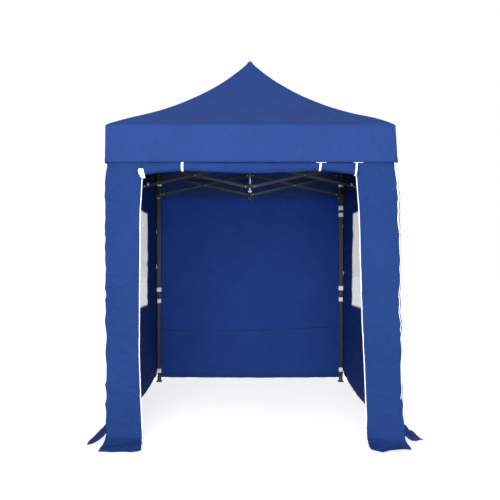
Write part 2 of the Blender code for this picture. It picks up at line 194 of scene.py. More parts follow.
def coated_material(name, dark, pale, edge_highlight_colour, grain_mm, rough, bump, metallic=0.0):
    """A skin with a fine grain and a painted highlight along its edges. Grain is the size of its dimples."""
    material, tree, out = new_material(name)
    place = add_node(tree, "ShaderNodeTexCoord")
    grain = add_node(
        tree, "ShaderNodeTexNoise", Vector=place.outputs["Object"], Scale=1 / (grain_mm * MM), Detail=2.0
    )
    cloud = add_node(tree, "ShaderNodeTexNoise", Vector=place.outputs["Object"], Scale=9.0, Detail=3.0)
    skin = add_node(
        tree,
        "ShaderNodeMix",
        {"data_type": "RGBA"},
        _i0=cloud.outputs[0],
        _i6=hex_colour(dark),
        _i7=hex_colour(pale),
    )
    # painted highlight: the edges are mixed towards a lighter colour, as if light caught them
    edge, rounded = painted_edge_highlight(tree, 1.6 * MM)
    edge_lit = add_node(
        tree, "ShaderNodeMix", {"data_type": "RGBA"}, _i0=edge, _i6=skin.outputs[2], _i7=hex_colour(edge_highlight_colour)
    )
    dull = add_node(tree, "ShaderNodeMapRange", _i0=grain.outputs[0], _i3=rough - 0.06, _i4=rough + 0.08)
    dimples = add_node(
        tree,
        "ShaderNodeBump",
        Height=grain.outputs[0],
        Strength=bump,
        Distance=0.4 * MM,
        Normal=rounded,
    )
    shader = add_node(
        tree,
        "ShaderNodeBsdfPrincipled",
        Base_Color=edge_lit.outputs[2],
        Roughness=dull.outputs[0],
        Metallic=metallic,
        Normal=dimples.outputs[0],
    )
    tree.links.new(shader.outputs[0], out.inputs["Surface"])
    return material


# orange peel on powder coat is about 1.5 mm across, which gives a soft, broken highlight
# the third colour of each finish is its painted edge highlight
powder_coat = coated_material("powder_coated_steel", "07080b", "0d0e11", "34322e", 1.5, 0.42, 0.25)
# spark-eroded moulding texture, about 0.8 mm, so the nylon looks flatter and greyer than the steel
nylon = coated_material("moulded_black_nylon", "161617", "202021", "3c3c3e", 0.8, 0.52, 0.35)
# zinc plate has a fine crystal grain under 1 mm and stays bright
zinc = coated_material("zinc_plated_steel", "b9bcc0", "d4d6d8", "eceded", 0.9, 0.30, 0.12, metallic=1.0)


def finish_node(name, material):
    """Give a CAD node its material."""
    mesh = nodes[name].data
    mesh.materials.clear()
    mesh.materials.append(material)


def turned(points, degrees):
    """Points turned about the Z axis through the middle."""
    c, s = round(math.cos(math.radians(degrees)), 12), round(math.sin(math.radians(degrees)), 12)
    points = np.asarray(points, float)
    return np.stack(
        [points[..., 0] * c - points[..., 1] * s, points[..., 0] * s + points[..., 1] * c, points[..., 2]], -1
    )


def new_piece(name, points, faces, material, body, smooth=True):
    """A mesh piece that rides on a body."""
    mesh = bpy.data.meshes.new(name)
    mesh.from_pydata([tuple(p) for p in np.asarray(points, float).reshape(-1, 3)], [], faces)
    shape = bmesh.new()
    shape.from_mesh(mesh)
    bmesh.ops.remove_doubles(shape, verts=shape.verts, dist=0.01 * MM)
    bmesh.ops.recalc_face_normals(shape, faces=shape.faces)
    shape.to_mesh(mesh)
    shape.free()
    mesh.polygons.foreach_set("use_smooth", [smooth] * len(mesh.polygons))
    mesh.materials.append(material)
    obj = bpy.data.objects.new(name, mesh)
    scene.collection.objects.link(obj)
    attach(obj, body)
    return obj


def square_loops(middle, loops, steps=4):
    """Points and faces of a closed ring round an upright axis, from its half widths, heights and radii."""
    points, faces = [], []
    for half, high, radius in loops:
        for sx, sy, start in ((1, 1, 0), (-1, 1, 90), (-1, -1, 180), (1, -1, 270)):
            for i in range(steps):
                a = math.radians(start + 90 * i / (steps - 1))
                points.append(
                    (
                        middle[0] + sx * (half - radius) + radius * math.cos(a),
                        middle[1] + sy * (half - radius) + radius * math.sin(a),
                        high,
                    )
                )
    n, rings = 4 * steps, len(loops)
    for r in range(rings):
        for i in range(n):
            a, b = r * n, ((r + 1) % rings) * n
            faces.append((a + i, a + (i + 1) % n, b + (i + 1) % n, b + i))
    return points, faces


for corner, (sx, sy) in CORNERS.items():
    finish_node("leg_" + corner, powder_coat)
    finish_node("inner_leg_" + corner, powder_coat)
    middle = (sx * LEG_AXIS, sy * LEG_AXIS)
    # nylon collar at the mouth of the outer tube, and the boot round the foot of the inner one
    collar = [(23, 0.902, 3), (23, 0.944, 3), (22, 0.946, 3), (20.1, 0.946, 1), (20.1, 0.9195, 1)]
    collar += [(16.4, 0.9195, 1), (16.4, 0.902, 1)]
    points, faces = square_loops(middle, [(h * MM, z, r * MM) for h, z, r in collar])
    new_piece("leg_collar_" + corner, points, faces, nylon, "leg_" + corner)
    boot = [(24, 0.0085, 4), (24, 0.012, 4), (19, 0.022, 3), (18.5, 0.058, 3), (16.1, 0.060, 1)]
    boot += [(16.1, 0.0085, 1)]
    points, faces = square_loops(middle, [(h * MM, z, r * MM) for h, z, r in boot])
    new_piece("foot_boot_" + corner, points, faces, nylon, "inner_leg_" + corner)

# ---------------------------------------------------------------- leg straps
# Pale grey hook-and-loop tape, 45 mm wide, sewn to the walls and wrapped round each leg. The nap is a dull,
# slightly fuzzy grey.
STRAPS = {
    "front_left": (1.84, 0.985, 0.865, 0.120),
    "front_right": (1.85, 0.995, 0.860, 0.125),
    "back_right": (2.100, 1.853, 1.781, 0.999, 0.880, 0.130),
    "back_left": (2.110, 0.983, 0.863, 0.118),
}


# a wave texture of scale 1 repeats its bands at this distance, in metres
BAND_PERIOD = 0.314


def tape_material(name, low, high, pitch_mm, rough, sheen):
    """Woven tape: ribs that repeat up its Z axis at the pitch of its weft."""
    material, tree, out = new_material(name)
    place = add_node(tree, "ShaderNodeTexCoord")
    ribs = add_node(
        tree,
        "ShaderNodeTexWave",
        {"bands_direction": "Z"},
        Vector=place.outputs["Object"],
        Scale=BAND_PERIOD / (pitch_mm * MM),
        Distortion=0.6,
    )
    nap = add_node(tree, "ShaderNodeTexNoise", Vector=place.outputs["Object"], Scale=420.0, Detail=3.0)
    tint = add_node(
        tree,
        "ShaderNodeMix",
        {"data_type": "RGBA"},
        _i0=nap.outputs[0],
        _i6=hex_colour(low),
        _i7=hex_colour(high),
    )
    weave = add_node(tree, "ShaderNodeBump", Height=ribs.outputs[1], Strength=0.35, Distance=0.5 * MM)
    fuzz = add_node(
        tree,
        "ShaderNodeBump",
        Height=nap.outputs[0],
        Strength=0.3,
        Distance=0.4 * MM,
        Normal=weave.outputs[0],
    )
    shader = add_node(
        tree,
        "ShaderNodeBsdfPrincipled",
        Base_Color=tint.outputs[2],
        Roughness=rough,
        Sheen_Weight=sheen,
        Normal=fuzz.outputs[0],
    )
    shader.inputs["Specular IOR Level"].default_value = 0.25
    tree.links.new(shader.outputs[0], out.inputs["Surface"])
    return material


# looped pile about 2 mm deep in the real tape: a dull grey with soft pale rims
strap_tape = tape_material("grey_loop_tape", "cfd1d1", "f0f2f2", 2.5, 0.9, 0.3)
for corner, (sx, sy) in CORNERS.items():
    for number, height in enumerate(STRAPS[corner], 1):
        half = 21.9 if height > 0.93 else 18.2
        low, high = height - 22 * MM, height + 22 * MM
        band = [(half, low, 3), (half + 0.9, low + 3 * MM, 3), (half + 0.9, high - 3 * MM, 3)]
        band += [(half, high, 3), (half - 1.4, high, 2), (half - 1.4, low, 2)]
        loops = [(h * MM, z, r * MM) for h, z, r in band]
        points, faces = square_loops((sx * LEG_AXIS, sy * LEG_AXIS), loops)
        # the wall's tape keeps the strap under the outer leg in its place when the inner leg slides up
        body = ("leg_" if height > 0.80 else "inner_leg_") + corner
        new_piece(f"leg_strap_{corner}_{number}", points, faces, strap_tape, body)

# ---------------------------------------------------------------- sliders, brackets and hubs
# Glass-filled nylon mouldings that hold the truss bars between cheeks. A zinc plated spring pin with a round
# knob locks each slider to its leg.
for corner in CORNERS:
    finish_node("slider_" + corner, nylon)
    finish_node("slider_pin_" + corner, zinc)
for side in SIDES:
    finish_node(side + "_upper_bracket", nylon)
    finish_node(side + "_lower_bracket", nylon)
finish_node("centre_hub_top", nylon)
finish_node("centre_hub_bottom", nylon)
finish_node("centre_pole", powder_coat)


def turned_solid(name, profile, sides, material, body, place=(0, 0, 0)):
    """A round solid about an upright axis; profile is rows of (radius, height) from bottom to top."""
    points, faces = [], []
    for radius, height in profile:
        for i in range(sides):
            a = math.tau * i / sides
            x, y = place[0] + radius * math.cos(a), place[1] + radius * math.sin(a)
            points.append((x, y, place[2] + height))
    for r in range(len(profile) - 1):
        for i in range(sides):
            j = (i + 1) % sides
            faces.append((r * sides + i, r * sides + j, (r + 1) * sides + j, (r + 1) * sides + i))
    faces.append(tuple(range(sides)))
    faces.append(tuple((len(profile) - 1) * sides + i for i in range(sides)))
    return new_piece(name, points, faces, material, body)


# the plated tube that guides the lower hub, and the pale cap on its lower end
# its third colour is the painted edge highlight
pale_nylon = coated_material("moulded_pale_grey_nylon", "a9abad", "c2c4c5", "d9dadb", 0.8, 0.45, 0.30)
tube = [(7 * MM, 1.9555), (7.5 * MM, 1.9565), (7.5 * MM, 2.1240), (7 * MM, 2.1250)]
turned_solid("hub_guide_tube", tube, 20, zinc, "centre_hub_and_pole")
cap = [(8 * MM, 1.886), (15 * MM, 1.888), (18 * MM, 1.893), (18 * MM, 1.903), (12 * MM, 1.908)]
cap += [(9 * MM, 1.912), (9 * MM, 1.9250), (8 * MM, 1.9255)]
turned_solid("hub_end_cap", cap, 24, pale_nylon, "centre_hub_bottom")
for side, angle in SIDES.items():
    # pale clip pressed over the end of the fork that carries the roof truss
    place = turned([(7 * MM, -0.905, 1.944)], angle)[0]
    clip = [(6 * MM, 0.0), (9.5 * MM, 0.002), (10.5 * MM, 0.008), (10 * MM, 0.020)]
    clip += [(7 * MM, 0.026), (2 * MM, 0.028)]
    turned_solid(f"bracket_clip_{side}", clip, 16, pale_nylon, side + "_lower_bracket", place=place)

# ---------------------------------------------------------------- truss bars with their end plugs
# Flat 24 by 12 mm steel tubes, powder coated like the legs, one length for all. A nylon plug closes each end.
LEG_PIVOT = 0.925
MID_PIVOT = 0.030
ROOF_PIVOT = 0.935
HUB_PIVOT = 0.040
HIGH, LOW = 2.200, 2.000
ROOF_HIGH, ROOF_LOW = 2.140, 1.940
LAYER = 7 * MM
BAR_OVERHANG = 8 * MM
ENDS = {
    "front": ("left", "right"),
    "right": ("front", "back"),
    "back": ("right", "left"),
    "left": ("back", "front"),
}
NEIGHBOURS = {
    "front": ("front_left", "front_right"),
    "right": ("front_right", "back_right"),
    "back": ("back_right", "back_left"),
    "left": ("back_left", "front_left"),
}
bolts = {}


def note_bolt(body, point, axis, angle, reach):
    """Keep one bolt for a body: its middle, its direction and half its length between the heads."""
    direction = turned([axis], angle)[0]
    bolts.setdefault(body, []).append((turned([point], angle)[0], direction, reach))


def bar_plugs(name, start, end, flat_way, angle):
    """Two shallow plugs that stand a little out of the ends of a bar."""
    start, end, flat = Vector(start), Vector(end), Vector(flat_way)
    along = (end - start).normalized()
    wide = flat.cross(along)
    points, faces = [], []
    for middle, out_way in ((start - along * BAR_OVERHANG, -along), (end + along * BAR_OVERHANG, along)):
        first = len(points)
        rings = ((0.2, 11.6, 5.6), (1.2, 11.6, 5.6), (2.2, 10.2, 4.4), (2.4, 7.0, 2.6))
        for out_by, half_wide, half_flat in rings:
            for i in range(16):
                a = math.tau * i / 16
                u, v = math.cos(a), math.sin(a)
                u, v = math.copysign(abs(u) ** 0.35, u), math.copysign(abs(v) ** 0.35, v)
                off_axis = wide * half_wide * u + flat * half_flat * v
                points.append(middle + (out_way * out_by + off_axis) * MM)
        for r in range(3):
            for i in range(16):
                j = (i + 1) % 16
                ring = first + r * 16
                faces.append((ring + i, ring + j, ring + 16 + j, ring + 16 + i))
        faces.append(tuple(first + i for i in range(16)))
        faces.append(tuple(first + 48 + i for i in range(16)))
    plugs = turned(points, angle)
    new_piece("plugs_of_" + name, plugs, faces, nylon, name, smooth=False)


for side, angle in SIDES.items():
    for way, end_name, corner in zip((-1, 1), ENDS[side], NEIGHBOURS[side]):
        high, low = f"truss_{side}_high_bar_{end_name}", f"truss_{side}_low_bar_{end_name}"
        finish_node(high, powder_coat)
        finish_node(low, powder_coat)
        outer, inner = -LEG_AXIS - LAYER, -LEG_AXIS + LAYER
        bar_plugs(high, (way * MID_PIVOT, outer, LOW), (way * LEG_PIVOT, outer, HIGH), (0, 1, 0), angle)
        bar_plugs(low, (way * MID_PIVOT, inner, HIGH), (way * LEG_PIVOT, inner, LOW), (0, 1, 0), angle)
        note_bolt("leg_" + corner, (way * LEG_PIVOT, outer, HIGH), (0, 1, 0), angle, 9.5 * MM)
        note_bolt("slider_" + corner, (way * LEG_PIVOT, inner, LOW), (0, 1, 0), angle, 9.5 * MM)
        note_bolt(side + "_lower_bracket", (way * MID_PIVOT, outer, LOW), (0, 1, 0), angle, 9.5 * MM)
        note_bolt(side + "_upper_bracket", (way * MID_PIVOT, inner, HIGH), (0, 1, 0), angle, 9.5 * MM)
        crossing = way * (MID_PIVOT + LEG_PIVOT) / 2
        note_bolt(high, (crossing, -LEG_AXIS, (HIGH + LOW) / 2), (0, 1, 0), angle, 13 * MM)
    top, bottom = f"roof_truss_{side}_top_bar", f"roof_truss_{side}_bottom_bar"
    finish_node(top, powder_coat)
    finish_node(bottom, powder_coat)
    bar_plugs(top, (LAYER, -HUB_PIVOT, ROOF_HIGH), (LAYER, -ROOF_PIVOT, ROOF_LOW), (1, 0, 0), angle)
    bar_plugs(bottom, (-LAYER, -ROOF_PIVOT, ROOF_HIGH), (-LAYER, -HUB_PIVOT, ROOF_LOW), (1, 0, 0), angle)
    note_bolt("centre_hub_and_pole", (LAYER, -HUB_PIVOT, ROOF_HIGH), (1, 0, 0), angle, 9.5 * MM)
    note_bolt(side + "_lower_bracket", (LAYER, -ROOF_PIVOT, ROOF_LOW), (1, 0, 0), angle, 9.5 * MM)
    note_bolt(side + "_upper_bracket", (-LAYER, -ROOF_PIVOT, ROOF_HIGH), (1, 0, 0), angle, 9.5 * MM)
    note_bolt("centre_hub_bottom", (-LAYER, -HUB_PIVOT, ROOF_LOW), (1, 0, 0), angle, 9.5 * MM)
    middle = -(HUB_PIVOT + ROOF_PIVOT) / 2
    note_bolt(top, (0, middle, (ROOF_HIGH + ROOF_LOW) / 2), (1, 0, 0), angle, 13 * MM)

# ---------------------------------------------------------------- bolts
# Zinc plated M6 bolts at every pivot and crossing, with a domed head on one side and a hex nut with its
# washer on the other.
for body, places in bolts.items():
    points, faces = [], []
    for centre, direction, reach in places:
        axis = Vector(direction)
        turn = axis.to_track_quat("Z", "Y").to_matrix()
        # rows of (distance along the bolt past the cheek, radius, sides): head, then washer and nut
        head = [(0.1, 6.0), (1.4, 5.8), (2.6, 4.6), (3.3, 2.6), (3.5, 0.6)]
        nut = [(0.1, 6.2), (0.9, 6.2), (1.0, 5.4), (3.6, 5.4), (4.0, 4.8), (4.0, 3.0), (4.8, 2.9), (5.0, 0.5)]
        for sign, rows, sides in ((1, head, 12), (-1, nut, 6)):
            first = len(points)
            for past, radius in rows:
                for i in range(sides):
                    a = math.tau * i / sides
                    local = Vector((radius * math.cos(a), radius * math.sin(a), 0)) * MM
                    points.append(Vector(centre) + turn @ local + axis * sign * (reach + past * MM))
            for r in range(len(rows) - 1):
                for i in range(sides):
                    j = (i + 1) % sides
                    a, b = first + r * sides, first + (r + 1) * sides
                    faces.append((a + i, a + j, b + j, b + i))
            faces.append(tuple(first + i for i in range(sides)))
            faces.append(tuple(first + (len(rows) - 1) * sides + i for i in range(sides)))
    new_piece("bolts_of_" + body, points, faces, zinc, body, smooth=False)

# ---------------------------------------------------------------- roof cover
# Four gores of coated polyester oxford cloth sewn along the hips, each one piece with its valance. The cloth
# is drawn tight from the cap of the pole to the tops of the legs, with a stitched hem and faint pulls at the
# corners.
EAVE, PEAK, ROOF_HALF = 2.222, 3.050, 1.0125
VALANCE_LOW = 1.957
CLOTH = 1.2 * MM


def cloth_material(name, deep, bright, thread_mm, through):
    """Woven cloth. thread_mm is the pitch of its rib, and through is the share of light that passes."""
    material, tree, out = new_material(name)
    place = add_node(tree, "ShaderNodeTexCoord")
    weave = []
    for direction in "XYZ":
        ribs = add_node(
            tree,
            "ShaderNodeTexWave",
            {"bands_direction": direction},
            Vector=place.outputs["Object"],
            Scale=BAND_PERIOD / (thread_mm * MM),
            Distortion=0.3,
        )
        weave.append(ribs.outputs[1])
    two = add_node(tree, "ShaderNodeMath", _0=weave[0], _1=weave[1])
    rib = add_node(tree, "ShaderNodeMath", _0=two.outputs[0], _1=weave[2])
    slub = add_node(
        tree, "ShaderNodeTexNoise", Vector=place.outputs["Object"], Scale=3.2, Detail=5.0, Roughness=0.6
    )
    crumple = add_node(
        tree, "ShaderNodeTexNoise", Vector=place.outputs["Object"], Scale=14.0, Detail=4.0, Distortion=1.2
    )
    mixed = add_node(tree, "ShaderNodeMath", {"operation": "MULTIPLY_ADD"}, _0=rib.outputs[0], _1=0.05)
    tree.links.new(slub.outputs[0], mixed.inputs[2])
    tint = add_node(
        tree,
        "ShaderNodeMix",
        {"data_type": "RGBA"},
        _i0=mixed.outputs[0],
        _i6=hex_colour(deep),
        _i7=hex_colour(bright),
    )
    soft = add_node(tree, "ShaderNodeBump", Height=crumple.outputs[0], Strength=0.8, Distance=16 * MM)
    fine = add_node(
        tree,
        "ShaderNodeBump",
        Height=rib.outputs[0],
        Strength=0.12,
        Distance=0.5 * MM,
        Normal=soft.outputs[0],
    )
    shader = add_node(
        tree,
        "ShaderNodeBsdfPrincipled",
        Base_Color=tint.outputs[2],
        Roughness=0.72,
        Normal=fine.outputs[0],
    )
    shader.inputs["Specular IOR Level"].default_value = 0.12
    glow = add_node(tree, "ShaderNodeBsdfTranslucent", Color=tint.outputs[2], Normal=soft.outputs[0])
    mix = add_node(tree, "ShaderNodeMixShader", Fac=through, _1=shader.outputs[0], _2=glow.outputs[0])
    tree.links.new(mix.outputs[0], out.inputs["Surface"])
    return material


# oxford cloth has a 0.5 mm thread; its rib is drawn at 4 mm, the finest that shows at this distance
blue_cloth = cloth_material("royal_blue_oxford_cloth", "1f3c7a", "26488c", 4.0, 0.50)
# the roof's cloth has a thicker waterproof coat, so less light comes through it
roof_cloth = cloth_material("coated_royal_blue_roof_cloth", "1a3167", "1f3b77", 4.0, 0.14)


def smooth_step(low, high, value):
    t = np.clip((np.asarray(value, float) - low) / (high - low), 0, 1)
    return t * t * (3 - 2 * t)


def noise_field(points, scale, seed):
    """Smooth noise from about -1 to 1 at points; scale is the size of its lumps."""
    flat = np.asarray(points, float).reshape(-1, 3)
    scale = np.broadcast_to(np.asarray(scale, float), 3)
    offset = np.array([seed * 7.31, seed * 3.17, seed * 5.53])
    values = [noise.noise(Vector(p)) for p in flat / scale + offset]
    return np.array(values).reshape(np.shape(points)[:-1])


def outward(points):
    """Level direction away from the middle that turns smoothly round the corners."""
    x, y = points[..., 0], points[..., 1]
    ax = np.sign(x) * smooth_step(0.86, 1.0, np.abs(x))
    ay = np.sign(y) * smooth_step(0.86, 1.0, np.abs(y))
    return np.stack([ax, ay, np.zeros_like(ax)], -1)


def corner_pull(points):
    """How far the cloth stands out at the front legs; the zip strains it at the right one."""
    near = np.exp(-((points[..., 0] - 1.0) ** 2 + (points[..., 1] + 1.0) ** 2) / 0.16**2)
    heights = [0.1, 0.4, 1.2, 1.8, 2.0, 2.2, 2.25]
    strain = near * np.interp(points[..., 2], heights, [0.060, 0.054, 0.045, 0.032, 0.013, 0.005, 0.003])
    other = np.exp(-((points[..., 0] + 1.0) ** 2 + (points[..., 1] + 1.0) ** 2) / 0.10**2)
    return strain + other * np.interp(points[..., 2], [0.1, 1.8, 2.0], [0.010, 0.008, 0.0])


def creases(u, v, lines):
    """Sum of pulled folds in a plane; each is (u0, v0, u1, v1, width, height)."""
    total = np.zeros_like(u)
    for u0, v0, u1, v1, width, height in lines:
        du, dv = u1 - u0, v1 - v0
        length = math.hypot(du, dv)
        along = ((u - u0) * du + (v - v0) * dv) / length / length
        across = ((v - v0) * du - (u - u0) * dv) / length
        bow = 0.10 * length * np.sin(np.clip(along, 0, 1) * math.pi)
        q = (across - bow) / width
        taper = smooth_step(-0.05, 0.35, along) * (1 - smooth_step(0.55, 1.05, along))
        total += height * taper * (np.exp(-q * q) - 0.55 * np.exp(-((q - 1.5) ** 2)))
    return total


def grid_faces(rows, columns, keep=None):
    """Quads of a grid of points, row by row; keep says which cells stay."""
    faces = []
    for r in range(rows - 1):
        for c in range(columns - 1):
            if keep is None or keep[r, c]:
                a = r * columns + c
                faces.append((a, a + 1, a + columns + 1, a + columns))
    return faces


def make_sheet(name, points, material, body, keep=None, thick=CLOTH, offset=0.0):
    """A cloth piece from a grid of points, given its thickness."""
    rows, columns = points.shape[:2]
    piece = new_piece(name, points, grid_faces(rows, columns, keep), material, body)
    shell = piece.modifiers.new("thickness", "SOLIDIFY")
    shell.thickness = thick
    shell.offset = offset
    return piece


def roof_height(out_by):
    t = 1.0 - np.asarray(out_by, float) / ROOF_HALF
    return EAVE + (PEAK - EAVE) * (0.70 * t + 0.30 * np.clip(t, 0, 1) ** 3)


# rows run from the peak to the eave, round it and down the valance to the hem
slope = np.concatenate([[0.0, 0.012, 0.03], np.linspace(0.05, 0.985, 66)])
turn = [(0.996, roof_height(0.996)), (1.005, EAVE + 0.0025), (1.0105, EAVE - 0.004)]
turn += [(ROOF_HALF, EAVE - 0.014)]
drop = [(ROOF_HALF, z) for z in np.linspace(2.19, 1.99, 17)]
hem = [(ROOF_HALF, 1.9815), (ROOF_HALF + 0.4 * MM, 1.9795)]
hem += [(ROOF_HALF + 0.6 * MM, z) for z in (1.975, VALANCE_LOW)]
rows = np.array([(o, float(roof_height(o))) for o in slope] + turn + drop + hem)
rows[0] = (0.002, PEAK - 0.002)
rows[1][1] = PEAK - 0.007
inner_columns = np.linspace(-1, 1, 121)
ROOF_PULLS = {
    "front": [(0.96, 1.00, 0.55, 0.62, 0.030, 5 * MM), (0.97, 0.97, 0.72, 0.55, 0.022, 4 * MM)],
    "right": [(-0.95, 0.99, -0.60, 0.70, 0.030, 4 * MM), (0.93, 0.97, 0.60, 0.66, 0.026, 3 * MM)],
    "back": [(0.95, 0.98, 0.50, 0.60, 0.028, 3 * MM), (-0.95, 0.98, -0.58, 0.70, 0.026, 3 * MM)],
    "left": [(0.95, 0.99, 0.62, 0.70, 0.026, 3 * MM), (-0.94, 0.97, -0.55, 0.66, 0.026, 3 * MM)],
}
for side, angle in SIDES.items():
    lines = []
    for out_by, height in rows:
        width = min(out_by, ROOF_HALF)
        edge = np.array([0.0, 9.0, 11.0, 13.0]) * MM * min(1.0, width / 0.06)
        inner = inner_columns[1:-1] * (width - edge[-1])
        x = np.concatenate([-width + edge, inner, (width - edge)[::-1]])
        lines.append(np.stack([x, np.full_like(x, -out_by), np.full_like(x, height)], -1))
    local = np.array(lines)
    raised = np.zeros(local.shape[:2])
    raised[:, :2] = raised[:, -2:] = 1.0
    out_by = -local[..., 1]
    on_roof = 1 - smooth_step(0.995, 1.012, out_by)
    on_roof[len(slope) :] = 0
    across = np.abs(local[..., 0]) / np.maximum(out_by, 0.01)
    t = 1 - out_by / ROOF_HALF
    points = turned(local, angle)
    sag = -0.016 * (1 - np.clip(across, 0, 1) ** 2) * np.sin(np.clip(t, 0, 1) * math.pi) ** 0.8
    lift = 0.004 * noise_field(points, 0.30, 1) * smooth_step(0, 0.15, t)
    corner_bump = np.zeros_like(lift)
    for (sx, sy), high in (((1, -1), 13 * MM), ((-1, -1), 4 * MM), ((1, 1), 8 * MM), ((-1, 1), 7 * MM)):
        far = (points[..., 0] - sx * 0.90) ** 2 + (points[..., 1] - sy * 0.90) ** 2
        corner_bump += high * np.exp(-far / 0.13**2)
    pulls = creases(local[..., 0], out_by, ROOF_PULLS[side])
    hip_fade = 1 - smooth_step(0.90, 1.0, across)
    points[..., 2] += on_roof * (sag + lift + corner_bump + pulls * hip_fade + raised * 1.1 * MM)
    # the valance hangs in shallow waves and stands out a little at the legs
    down = smooth_step(EAVE, VALANCE_LOW, local[..., 2]) * (1 - on_roof)
    wave = 0.0035 * noise_field(points, (0.22, 0.22, 0.6), 2)
    wave += 0.0015 * noise_field(points, (0.07, 0.07, 0.2), 3)
    wave += 0.004 * np.exp(-((np.abs(local[..., 0]) - 0.97) ** 2) / 0.03**2)
    pull = corner_pull(points) * (1 - on_roof)
    points += outward(points) * (np.clip(wave, -0.003, 0.012) * down + pull)[..., None]
    gore = make_sheet("roof_gore_" + side, points, roof_cloth, "roof_cover_" + side, offset=-1.0)
    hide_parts("roof_cover_" + side)
    axis, anchor = turned([(1, 0, 0)], angle)[0], (0, 0, PEAK)
    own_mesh(gore)

# ---------------------------------------------------------------- walls
# Oxford cloth, hung from the truss and strapped to the legs. Each wall ends in a loose flap that lies out on
# the ground. Both side walls have a square window, the back wall has a seam and the front has a doorway.
WALL_IN, WALL_TOP = 1.000, 2.160
WINDOW_HALF, WINDOW_LOW, WINDOW_HIGH = 0.460, 0.856, 1.744
DOOR_TOP = 1.956
profile_points = np.array(
    [(1.0, 2.160), (1.0, 0.130), (1.003, 0.095), (1.013, 0.066), (1.038, 0.041)]
    + [(1.085, 0.024), (1.140, 0.012), (1.195, 0.006), (1.236, 0.004)]
)
profile_length = np.concatenate([[0], np.cumsum(np.hypot(*np.diff(profile_points, axis=0).T))])
WALL_LONG = float(profile_length[-1])


def wall_profile(down):
    """Distance out from the middle and height, at a distance down the cloth."""
    out_by, height = (np.interp(down, profile_length, profile_points[:, i]) for i in (0, 1))
    return out_by, height


draw = np.random.default_rng(41)


def random_pulls(count, long_low, long_high, wide, high, near=0.0, far=0.9):
    """Folds that run mostly across the wall, as cloth takes them between its straps."""
    lines = []
    for _ in range(count):
        u, v = draw.uniform(near, far) * (1 if draw.random() < 0.5 else -1), draw.uniform(0.12, 1.85)
        length = draw.uniform(long_low, long_high)
        tilt = math.radians(draw.normal(0, 26)) + (math.pi if draw.random() < 0.5 else 0)
        lines.append(
            (
                u,
                v,
                u + length * math.cos(tilt),
                v + length * math.sin(tilt),
                wide * draw.uniform(0.7, 1.5),
                high * draw.uniform(0.4, 1.0),
            )
        )
    return lines


WALL_PULLS = {side: random_pulls(34, 0.15, 0.60, 0.022, 6 * MM) for side in SIDES}
WALL_PULLS["front"] += random_pulls(26, 0.08, 0.22, 0.014, 7 * MM, 0.80, 0.98)
WALL_PULLS["back"] += [
    (0.85, 0.62, -0.15, 0.12, 0.035, 9 * MM),
    (-0.85, 0.50, 0.20, 0.20, 0.035, 8 * MM),
    (0.80, 0.35, 0.10, 0.10, 0.030, 7 * MM),
    (-0.75, 0.78, -0.1, 0.66, 0.030, 5 * MM),
]
# share of its full reach that each ground flap lies out, the left one being half tucked under
FLAP_REACH = {"front": 1.0, "right": 0.82, "back": 0.85, "left": 0.52}
# how far each wall is blown in near the ground, in its middle
BLOWN_IN = {"front": 0.0, "right": 0.040, "back": 0.028, "left": 0.045}


def wall_surface(side, across, down, proud=0.0):
    """World points of a wall's cloth; across runs from its left end to its right one, seen from outside."""
    across, down = np.broadcast_arrays(np.asarray(across, float), np.asarray(down, float))
    out_by, height = wall_profile(down)
    flap = smooth_step(1.0, 1.2, out_by)
    out_by = 1.0 + (out_by - 1.0) * FLAP_REACH[side]
    flare = {"front": (0.0, 0.055), "right": (0.030, 0.06), "back": (0.02, 0.02), "left": (0.03, 0.085)}[side]
    end = smooth_step(0.85, 1.0, np.abs(across))
    x = across + flap * end * np.where(across > 0, flare[1], -flare[0])
    points = turned(np.stack([x, -out_by, height], -1), SIDES[side])
    fold = creases(across, height, WALL_PULLS[side])
    slack = 0.0085 * noise_field(points, (0.5, 0.5, 0.7), 4)
    slack += 0.0045 * noise_field(points, (0.16, 0.16, 0.12), 5)
    slack -= BLOWN_IN[side] * np.clip(1 - (across / 0.9) ** 2, 0, 1) * smooth_step(1.0, 0.1, height)
    ripple = 0.0090 * np.exp(-((np.abs(across) - 1.0) ** 2) / 0.05**2) * noise_field(points, (9, 9, 0.09), 6)
    total = slack + fold + ripple
    free = smooth_step(0.93, 0.75, np.abs(across)) * smooth_step(1.90, 1.70, height)
    below = smooth_step(1.955, 1.88, height)
    total = np.clip(total, -0.006 - 0.07 * free, 0.006 + 0.09 * below)
    total = total * (1 - 0.75 * flap) + corner_pull(points)
    points = points + outward(points) * (total + proud)[..., None]
    lumps = np.abs(noise_field(points, (0.16, 0.16, 0.5), 7)) * 0.022 + 0.002
    edge = smooth_step(1.04, 1.16, out_by)
    points[..., 2] += edge * lumps * (1 + 0.6 * end)
    return points


def rows_down(extra):
    """Distances down a wall for its rows of points, with the rows that seams and edges need."""
    hanging = np.linspace(0, WALL_LONG - 0.30, 150)
    lying = np.linspace(WALL_LONG - 0.288, WALL_LONG, 30)
    hem = WALL_LONG - np.array([0.018, 0.015])
    return np.unique(np.round(np.concatenate([hanging, lying, hem, extra]), 5))


def no_cell(across, down, half, top, bottom):
    """True for cells outside an opening."""
    u, v = (across[1:] + across[:-1]) / 2, (down[1:] + down[:-1]) / 2
    inside = (np.abs(u)[None, :] < half) & (v[:, None] > top) & (v[:, None] < bottom)
    return ~inside


def hang(piece):
    """Give the piece a mesh of its own."""
    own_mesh(piece)


